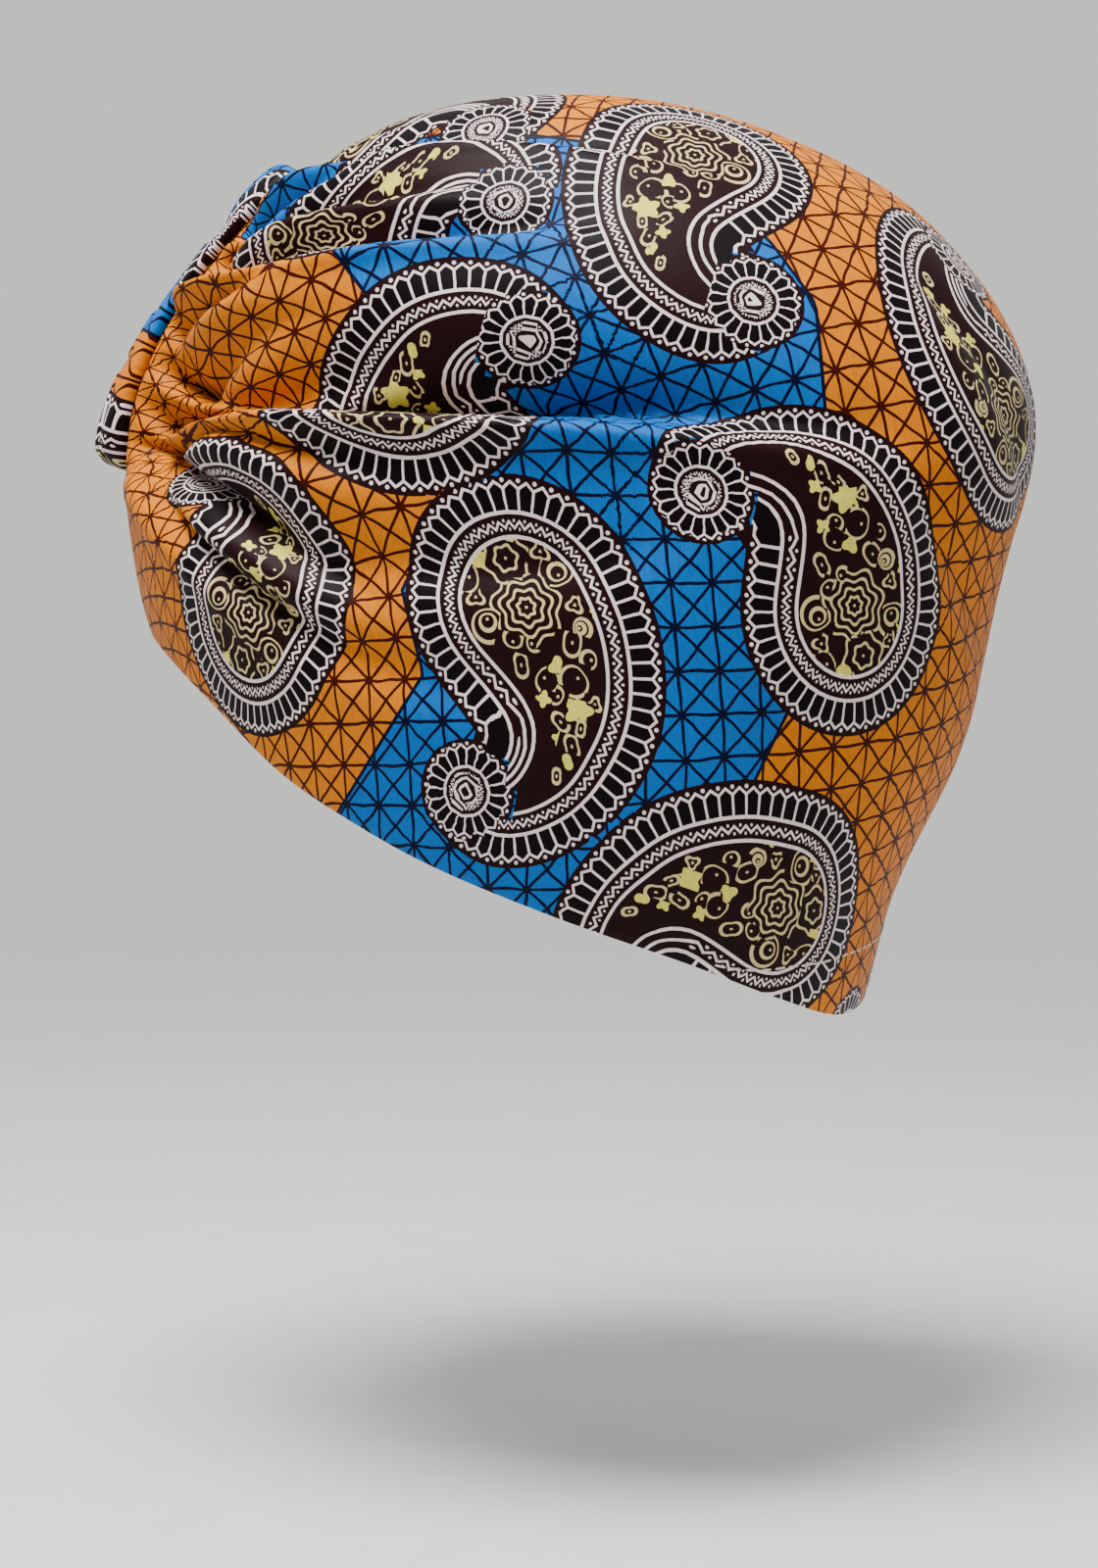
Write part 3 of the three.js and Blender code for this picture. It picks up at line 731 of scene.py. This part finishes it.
# %% Borders of a drop
CELL_TIP, CELL_START, CELL_SHOULDER, CELL_END = 1.4, 2.0, 2.6, 6.7
FINE_INK, SLANTED_INK, BOLD_INK = 0.27, 0.324, 0.34
DOT_DEPTH, DOT_SIZE = 1.15, 0.4
ZIGZAG_DEPTH, ZIGZAG_SWING, ZIGZAG_DOT, ZIGZAG_DOT_SIZE = 8.9, 0.6, 0.75, 0.3
INSIDE_DEPTH = 11.0


def border_ink(node, depth, place):
    """1 on the pale lines of a drop: pointed cells, dots between their tips, the zigzag with a dot
    in each of its corners, and the lines on both sides of it."""
    half = node("Math", {0: place, 1: 0.5}, operation="PINGPONG")
    aside = node("Math", {0: half, 1: CELL_PITCH}, operation="MULTIPLY")
    tip = node("MapRange", {0: half, 1: 0.0, 2: 0.5, 3: CELL_SHOULDER, 4: CELL_TIP})
    zigzag = node("MapRange", {0: half, 1: 0.0, 2: 0.5, 3: ZIGZAG_DEPTH - ZIGZAG_SWING,
                               4: ZIGZAG_DEPTH + ZIGZAG_SWING})
    inks = [node("Math", {0: depth, 1: level, 2: width}, operation="COMPARE")
            for level, width in ((tip, SLANTED_INK), (zigzag, SLANTED_INK),
                                 (CELL_END, BOLD_INK), (INSIDE_DEPTH, BOLD_INK))]
    wall = node("Math", {0: aside, 1: FINE_INK}, operation="LESS_THAN")
    middle, reach = (CELL_SHOULDER + CELL_END) / 2, (CELL_END - CELL_SHOULDER) / 2
    within = node("Math", {0: depth, 1: middle, 2: reach}, operation="COMPARE")
    inks.append(node("Math", {0: wall, 1: within}, operation="MULTIPLY"))
    beside = node("Math", {0: CELL_PITCH / 2, 1: aside}, operation="SUBTRACT")
    for across, level, size in ((aside, DOT_DEPTH, DOT_SIZE),
                                (aside, ZIGZAG_DEPTH + ZIGZAG_DOT, ZIGZAG_DOT_SIZE),
                                (beside, ZIGZAG_DEPTH - ZIGZAG_DOT, ZIGZAG_DOT_SIZE)):
        off = node("Math", {0: depth, 1: level}, operation="SUBTRACT")
        gap = node("VectorMath", {0: node("CombineXYZ", {0: across, 1: off})}, 1, operation="LENGTH")
        inks.append(node("Math", {0: gap, 1: size}, operation="LESS_THAN"))
    ink = inks[0]
    for other in inks[1:]:
        ink = node("Math", {0: ink, 1: other}, operation="MAXIMUM")
    return ink


# %% Flowers inside a drop
def flower_ink(node):
    """Two masks, the flower's ink and where it is filled: rings whose radius waves once per petal."""
    flower, petals = [node("Attribute", output=1, attribute_name=name) for name in ("flower", "petals")]
    x, y, ink = [node("SeparateXYZ", {0: flower}, axis) for axis in range(3)]
    count, cut, rings = [node("SeparateXYZ", {0: petals}, axis) for axis in range(3)]
    radius = node("VectorMath", {0: node("CombineXYZ", {0: x, 1: y})}, 1, operation="LENGTH")
    angle = node("Math", {0: y, 1: x}, operation="ARCTAN2")
    angle = node("Math", {0: angle, 1: count}, operation="MULTIPLY")
    wave = node("Math", {0: angle}, operation="COSINE")
    wave = node("Math", {0: wave, 1: cut, 2: 1.0}, operation="MULTIPLY_ADD")
    share = node("Math", {0: radius, 1: wave}, operation="DIVIDE")
    spacing = node("Math", {0: 0.5, 1: rings}, operation="DIVIDE")
    ring = node("Math", {0: share, 1: spacing}, operation="PINGPONG")
    line = node("Math", {0: ring, 1: ink}, operation="LESS_THAN")
    rim = node("Math", {0: 1.0, 1: ink}, operation="ADD")
    near = node("Math", {0: share, 1: rim}, operation="LESS_THAN")
    filled = node("Math", {0: rings, 1: 0.5}, operation="LESS_THAN")
    drawn = node("Math", {0: line, 1: filled}, operation="MAXIMUM")
    return node("Math", {0: drawn, 1: near}, operation="MULTIPLY"), filled


# %% Printed cloth
def printed_colour(node):
    """The print's colour from the values that the cloth carries: grounds, net, drops, flowers."""
    cloth, drop = [node("Attribute", output=1, attribute_name=name) for name in ("cloth", "drop")]
    wobble = node("TexNoise", {"Vector": cloth, "Scale": WOBBLE_SCALE, "Detail": 1.0}, 1)
    swing = (HAND_WOBBLE, HAND_WOBBLE, 0)
    drawn = node("VectorMath", {0: wobble, 1: swing, 2: cloth}, operation="MULTIPLY_ADD")
    u, v, field = [node("SeparateXYZ", {0: drawn}, axis) for axis in range(3)]
    depth, place = [node("SeparateXYZ", {0: drop}, axis) for axis in (0, 1)]
    in_blue = node("Math", {0: field, 1: 0.0}, operation="GREATER_THAN")
    in_drop = node("Math", {0: depth, 1: 0.0}, operation="GREATER_THAN")
    middle, reach = (CELL_START + CELL_END) / 2, (CELL_END - CELL_START) / 2
    in_cells = node("Math", {0: depth, 1: middle, 2: reach}, operation="COMPARE")
    inside = node("Math", {0: depth, 1: INSIDE_DEPTH + BOLD_INK}, operation="GREATER_THAN")
    flower, filled = flower_ink(node)
    flower = node("Math", {0: flower, 1: inside}, operation="MULTIPLY")
    gold = node("Mix", {0: filled, 6: GOLD_LINE, 7: GOLD}, 2, data_type="RGBA")
    ground = node("Mix", {0: in_blue, 6: ORANGE, 7: BLUE}, 2, data_type="RGBA")
    outline = node("Mix", {0: in_blue, 6: RUST, 7: NAVY}, 2, data_type="RGBA")
    colour = node("Mix", {0: net_ink(node, u, v), 6: ground, 7: outline}, 2, data_type="RGBA")
    border = node("Math", {0: field, 1: 0.0, 2: FIELD_LINE}, operation="COMPARE")
    layers = ((border, NAVY), (in_drop, MAROON), (in_cells, CELL_DARK),
              (border_ink(node, depth, place), CHALK), (flower, gold))
    for mask, ink in layers:
        colour = node("Mix", {0: mask, 6: colour, 7: ink}, 2, data_type="RGBA")
    return colour, cloth


THREADS = (3.2, 0.25, 1.0)
THREAD_HEIGHT, THREAD_RELIEF = 0.00012, 0.5
# How far the colour is painted darker and lighter along the streaks: painted sheen of the weave.
STREAK_RANGE, SHEEN_STREAK_TONES = (0.3, 0.7), (0.86, 1.12)
CLOTH_SHINE, CLOTH_SHEEN, SHEEN_ROUGHNESS = 0.06, 0.02, 0.4


def cloth_material(name, wash, roughness):
    """Woven polyester: the print, paler by a wash of undyed thread, fine streaks along the thread with a
    fine bump and painted sheen that makes the colour lighter and darker along them, and a soft sheen at
    grazing angles."""
    material, node = new_material(name)
    colour, cloth = printed_colour(node)
    threads = node("VectorMath", {0: cloth, 1: THREADS}, operation="MULTIPLY")
    streaks = node("TexNoise", {"Vector": threads, "Scale": 1.0, "Detail": 2.0})
    (low, high), (dark, light) = STREAK_RANGE, SHEEN_STREAK_TONES
    # Painted sheen: the streaks make the colour lighter and darker, the same under any light.
    painted_sheen = node("MapRange", {0: streaks, 1: low, 2: high, 3: dark, 4: light})
    colour = node("Mix", {0: wash, 6: colour, 7: linear("#B9B6B4")}, 2, data_type="RGBA")
    colour = node("VectorMath", {0: colour, "Scale": painted_sheen}, operation="SCALE")
    bump = node("Bump", {"Height": streaks, "Strength": THREAD_RELIEF, "Distance": THREAD_HEIGHT})
    surface = node("BsdfPrincipled", {
        "Base Color": colour, "Roughness": roughness, "Specular IOR Level": CLOTH_SHINE,
        "Sheen Weight": CLOTH_SHEEN, "Sheen Roughness": SHEEN_ROUGHNESS, "Normal": bump})
    node("OutputMaterial", {0: surface})
    return material


printed_cloth = cloth_material("printed polyester", wash=0.0, roughness=0.5)
wrong_side = cloth_material("printed polyester, wrong side", wash=0.55, roughness=0.65)
crown.data.materials.append(printed_cloth)
crown.data.materials.append(wrong_side)
print("print nodes:", len(printed_cloth.node_tree.nodes))

# %% [markdown]
# ## The knot
#
# At the centre front a short strip of the same cloth is wrapped round the gathers and pulls them
# together. It is a small roll, fuller at its two ends, with creases along it and notches where
# one layer of the strip passes over the next. Each row of a table gives its crest's height over the
# crown and its half width, as in the solid, and finer creases are added here.

# %% Knot surface
KNOT_TABLE = np.array([
    # angle on the outline, rise of the crest, half width
    (124, 1, 10), (124.9, 5, 11.6), (126.6, 6.2, 13), (129.2, 6.2, 14), (132.4, 5.4, 14.4), (135, 3.8, 14.5),
    (136.6, 4.5, 14.5), (140, 4.4, 14.2), (143.4, 4.1, 13.8), (147, 4.8, 13.6), (150.4, 5.1, 13.6),
    (153.6, 5.7, 13.8), (156.6, 6.3, 14), (159.4, 6.9, 14), (161.8, 7.5, 13.4), (163.5, 7.4, 12.4),
    (164.8, 5.2, 11.2), (165.6, 1.4, 10)])
KNOT_LENGTHS, KNOT_WIDTHS = 120, 60
KNOT_EDGE, KNOT_CLEARANCE = 1.6, 0.7
CREST_POWER, CREASE_REACH = 2.2, (2, 7)
KNOT_CREASES = [
    # place across at the top and at the bottom, depth, width
    (-3, 3.5, 2.0, 1.1), (4.5, 8.5, 1.8, 0.9), (-9, -5, 1.8, 0.9), (1, -1.5, 1.0, 0.7), (8, 5.5, 1.1, 0.7)]
KNOT_NOTCHES = [
    # angle on the outline, lean across, depth, width
    (135.4, 0.16, 2.6, 0.9), (145.2, 0.22, 1.8, 0.8), (154.6, -0.20, 1.8, 0.8)]


def knot_surface(v, w, on_crest):
    """A point of the knot, v along it and w across from -1 to 1: a point of the plain form, moved
    out to the underside or to a rounded crest, less the creases and the notches."""
    angle, rise, half = np.moveaxis(along_table(KNOT_TABLE, v * (len(KNOT_TABLE) - 1)), -1, 0)
    x = half * w
    share = (1 - (np.abs(x) / HALF_WIDTH) ** ROUNDNESS) ** (1 / ROUNDNESS)
    side = mix(OUTLINE_CENTRE, outline_point(angle), share[..., None])
    point = np.concatenate([x[..., None], side], -1)
    under = KNOT_CLEARANCE - pinch_depth(angle, x)
    creases = sum(depth * bell((x - mix(top, low, v)) / width) for top, low, depth, width in KNOT_CREASES)
    creases = creases + sum(depth * bell((angle - place - lean * x) / width)
                            for place, lean, depth, width in KNOT_NOTCHES)
    crest = (rise - under - KNOT_EDGE) * np.sqrt(np.maximum(0, 1 - np.abs(w) ** CREST_POWER))
    height = under + KNOT_EDGE + np.maximum(0, crest - creases * smooth(crest, *CREASE_REACH))
    return point + form_normal(point) * (height if on_crest else under)[..., None], angle, x


def end_quads(index, count):
    """Strips that close a wall along the first and the last line of its grid."""
    pairs = ((index[0, :-1], index[0, 1:]), (index[-1, 1:], index[-1, :-1]))
    return np.concatenate([np.stack([b, a, a + count, b + count], -1) for a, b in pairs])


knot_v, knot_turn = np.meshgrid(
    np.linspace(0, 1, KNOT_LENGTHS + 1), np.linspace(0.5, -0.5, KNOT_WIDTHS + 1), indexing="ij")
knot_w = np.sin(np.pi * knot_turn)
knot_crest, knot_angle, knot_x = knot_surface(knot_v, knot_w, True)
knot_under = knot_surface(knot_v, knot_w, False)[0]
knot_index = np.arange(knot_v.size).reshape(knot_v.shape)
knot_faces = np.concatenate([*wall_quads(knot_index, knot_v.size), end_quads(knot_index, knot_v.size)])
knot_points = np.concatenate([knot_crest.reshape(-1, 3), knot_under.reshape(-1, 3)])
knot = add_mesh("front_knot_band", knot_points, knot_faces)
print("knot:", len(knot_faces), "faces")

# %% Print of the knot
DEGREE_LENGTH = 1.76
KNOT_DROPS = [((56, -40), (27, -18), 1), ((26, -111), (6, -81), 1), ((-62, -52), (-30, -38), -1)]
KNOT_BLUE_END, KNOT_BLUE_START = 45.0, 66.0

knot_down = (knot_angle - KNOT_TABLE[0, 0]) * DEGREE_LENGTH
knot_flat = np.stack([knot_x, -knot_down], -1)
knot_ground = np.maximum(KNOT_BLUE_END - knot_down, knot_down - KNOT_BLUE_START)
knot_corners = knot_faces % knot_v.size
add_print(knot, knot_flat, knot_corners, [(np.array(a), np.array(b), turn) for a, b, turn in KNOT_DROPS],
          knot_ground)
knot.data.materials.append(printed_cloth)
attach(knot, "root")
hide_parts("front_knot")

# %% [markdown]
# ## The hem and its stitches
#
# The lower edge is turned in and sewn down, so inside there is a second layer whose printed side
# faces the head, and at the back a row of pale stitches shows outside. It leaves the edge behind
# the ear and climbs to the full depth of the hem at the nape. The band is a ring of the cloth surface
# taken a little deeper; each stitch is a short rounded thread, bedded in the cloth.

# %% Hem band
HEM_TOP, HEM_FOOT = 10.0, 1.4
HEM_ROWS = 8
HEM_GAP, HEM_CLOTH = 0.35, 0.7

around = np.concatenate([np.arange(RIBS + 1), np.arange(RIBS - 1, 0, -1)])
side_of = np.repeat([1.0, -1.0], [RIBS + 1, RIBS - 1])
hem_s, hem_share = np.meshgrid(rib_places[around], np.linspace(0, 1, HEM_ROWS + 1), indexing="ij")
hem_t = 1 - mix(HEM_TOP, HEM_FOOT, hem_share) / rib_length(hem_s)
hem_outer, hem_inner = [cloth_surface(hem_s, hem_t * side_of[:, None], CLOTH + HEM_GAP + depth)
                        for depth in (0, HEM_CLOTH)]
hem_numbers = np.arange(hem_s.size).reshape(hem_s.shape)
hem_index = np.concatenate([hem_numbers, hem_numbers[:1]])
hem_faces = np.concatenate(wall_quads(hem_index, hem_s.size))
hem = add_mesh("hem_band", np.concatenate([hem_outer.reshape(-1, 3), hem_inner.reshape(-1, 3)]), hem_faces)

row_place = ROWS + side_of[:, None] * hem_t * ROWS
low_row = np.clip(np.floor(row_place).astype(int), 0, 2 * ROWS - 1)
hem_flat = mix(flat_grid[around[:, None], low_row], flat_grid[around[:, None], low_row + 1],
               (row_place - low_row)[..., None])
add_print(hem, hem_flat, hem_faces % hem_s.size, crown_drops, crown_ground[around[:, None], low_row])
hem.data.materials.append(printed_cloth)
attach(hem, "root")
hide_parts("hem")
print("hem:", len(hem_faces), "faces")

# %% Hem stitches
STITCH_PITCH, STITCH_LENGTH, STITCH_WIDTH = 3.3, 2.5, 0.5
STITCH_LOW, STITCH_HIGH = 0.9, 9.2
STITCH_START = 0.68
STITCH_CLIMB = (0.66, 0.88)
PATH_STEPS = 900
STITCH_RINGS, STITCH_SIDES = 7, 8
WELD_DISTANCE = 1e-7

path_s = np.linspace(STITCH_START, 1, PATH_STEPS)
path_t = 1 - mix(STITCH_LOW, STITCH_HIGH, smooth(path_s, *STITCH_CLIMB)) / rib_length(path_s)
path = cloth_surface(path_s, path_t, 0)
path_lengths = np.concatenate([[0], np.cumsum(np.linalg.norm(np.diff(path, axis=0), axis=1))])
stitch_places = np.arange(STITCH_PITCH / 2, path_lengths[-1], STITCH_PITCH)
middles, heads, tails = [
    np.stack([np.interp(stitch_places + step, path_lengths, path[:, axis]) for axis in range(3)], -1)
    for step in (0, STITCH_LENGTH / 2, -STITCH_LENGTH / 2)]
along = (heads - tails) / np.linalg.norm(heads - tails, axis=1, keepdims=True)
outward = form_normal(middles)
beside = np.cross(outward, along)
turn, roll = np.meshgrid(np.linspace(0, np.pi, STITCH_RINGS),
                         np.linspace(0, 2 * np.pi, STITCH_SIDES, endpoint=False), indexing="ij")
thickness = STITCH_WIDTH / 2 * np.sqrt(np.sin(turn))
shape = [-STITCH_LENGTH / 2 * np.cos(turn), thickness * np.cos(roll), thickness * np.sin(roll)]
left_stitches = middles[:, None, None] + sum(
    part[None, ..., None] * axis[:, None, None] for part, axis in zip(shape, (along, outward, beside)))
right_stitches = (left_stitches * np.array([-1, 1, 1]))[:, ::-1]
stitch_points = np.concatenate([left_stitches, right_stitches])
numbers = np.arange(stitch_points.size // 3).reshape(stitch_points.shape[:3])
numbers = np.concatenate([numbers, numbers[..., :1]], -1)
a, b = numbers[:, :-1, :-1], numbers[:, 1:, :-1]
c, d = numbers[:, 1:, 1:], numbers[:, :-1, 1:]
stitches = add_mesh("hem_stitches", stitch_points.reshape(-1, 3), np.stack([a, d, c, b], -1).reshape(-1, 4))
shell = bmesh.new()
shell.from_mesh(stitches.data)
bmesh.ops.remove_doubles(shell, verts=shell.verts, dist=WELD_DISTANCE)
bmesh.ops.recalc_face_normals(shell, faces=shell.faces)
shell.to_mesh(stitches.data)
shell.free()
print("stitches:", len(stitch_points), "with", len(stitches.data.polygons), "faces")

# %% Sewing thread
TWIST_PITCH, WAVE_SHARE = 0.35, 0.3
TWIST_HEIGHT, TWIST_RELIEF = 0.0001, 0.4


def thread_material():
    """Spun polyester thread: matt and pale, with the slanting ridges of its twist."""
    material, node = new_material("sewing thread")
    place = node("TexCoord", output="Object")
    scale = WAVE_SHARE / (TWIST_PITCH * MM)
    twist = node("TexWave", {"Vector": place, "Scale": scale, "Distortion": 1.0}, 1)
    colour = node("Mix", {0: twist, 6: linear("#C9B7A2"), 7: linear("#EADFCF")}, 2, data_type="RGBA")
    bump = node("Bump", {"Height": twist, "Strength": TWIST_RELIEF, "Distance": TWIST_HEIGHT})
    surface = node("BsdfPrincipled", {"Base Color": colour, "Roughness": 0.75, "Normal": bump})
    node("OutputMaterial", {0: surface})
    return material


stitches.data.materials.append(thread_material())
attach(stitches, "root")

# %% [markdown]
# ## The cut of the cloth
#
# The frame keeps what each sheet measured before it was sewn. The crown's cut is the flat sheet
# that was worked out above.

# %% [markdown]
# ## Camera and light
#
# The camera looks at the wearer's left side from a little above the middle, as in the photograph.
# A broad light from above leaves the undersides of the folds dark. The surroundings fill them
# softly, pale behind the wrap and dimmer on the camera's side, as in a small studio.

# %% Camera
CAMERA_PLACE = np.array([700.0, -1.4, -100.5])
CAMERA_PITCH = 3.2
FRAME_HEIGHT, FOCAL_PIXELS = 1600, 3420
camera_data = bpy.data.cameras.new("camera")
camera_data.sensor_fit = "VERTICAL"
camera_data.angle = 2 * math.atan(FRAME_HEIGHT / 2 / FOCAL_PIXELS)
camera = bpy.data.objects.new("camera", camera_data)
camera.location = CAMERA_PLACE * MM
camera.rotation_euler = (math.radians(90 - CAMERA_PITCH), 0, math.radians(90))
bpy.context.scene.collection.objects.link(camera)
bpy.context.scene.camera = camera

# %% Floor and light
FLOOR = -283.0
FLOOR_REACH = 6000.0
FLOOR_FADE = (0.0, 1300.0)
BRIGHT_WALL, DIM_WALL, WALL_TURN = 1.05, 0.42, 0.6
MOTTLE_SCALE = 60.0
LIGHT_PLACE, LIGHT_AIM = (380, -160, 950), (0, 0, -90)
LIGHT_SIZE, LIGHT_POWER = 520, 36


def add_light(name, place, aim, size, power):
    """A soft square light at a place, turned towards an aim, both in millimetres."""
    data = bpy.data.lights.new(name, "AREA")
    data.size = size * MM
    data.energy = power
    lamp = bpy.data.objects.new(name, data)
    lamp.location = Vector(place) * MM
    lamp.rotation_euler = (Vector(aim) - Vector(place)).to_track_quat("-Z", "Y").to_euler()
    bpy.context.scene.collection.objects.link(lamp)


def floor_material():
    """Painted board: nearly white and matt, with the faint mottle of a roller. Far from the wrap it
    thins out, so that board and wall run into each other as a bent sheet of paper does."""
    material, node = new_material("painted board")
    place = node("TexCoord", output="Object")
    mottle = node("TexNoise", {"Vector": place, "Scale": MOTTLE_SCALE, "Detail": 3.0})
    colour = node("Mix", {0: mottle, 6: linear("#DDDDDC"), 7: linear("#E6E6E5")}, 2, data_type="RGBA")
    surface = node("BsdfPrincipled", {"Base Color": colour, "Roughness": 0.7})
    away = node("VectorMath", {0: place}, 1, operation="LENGTH")
    near, far = [reach * MM for reach in FLOOR_FADE]
    faded = node("MapRange", {0: away, 1: near, 2: far}, interpolation_type="SMOOTHSTEP")
    mixed = node("MixShader", {0: faded, 1: surface, 2: node("BsdfTransparent")})
    node("OutputMaterial", {0: mixed})
    return material


corners = np.array([(-1, -1), (1, -1), (1, 1), (-1, 1)]) * FLOOR_REACH
floor = add_mesh("floor", np.column_stack([corners, np.full(4, FLOOR)]), np.array([[0, 1, 2, 3]]))
floor.data.materials.append(floor_material())
world = bpy.data.worlds.new("studio")
bpy.context.scene.world = world
world.use_nodes = True
sky = world.node_tree
sky_x = add_node(sky, "SeparateXYZ", {0: add_node(sky, "TexCoord", output="Generated")})
sky_light = add_node(sky, "MapRange", {0: sky_x, 1: -WALL_TURN, 2: WALL_TURN, 3: BRIGHT_WALL, 4: DIM_WALL})
sky.nodes["Background"].inputs["Color"].default_value = linear("#E2E2E0")
sky.links.new(sky_light, sky.nodes["Background"].inputs["Strength"])
add_light("top light", LIGHT_PLACE, LIGHT_AIM, LIGHT_SIZE, LIGHT_POWER)
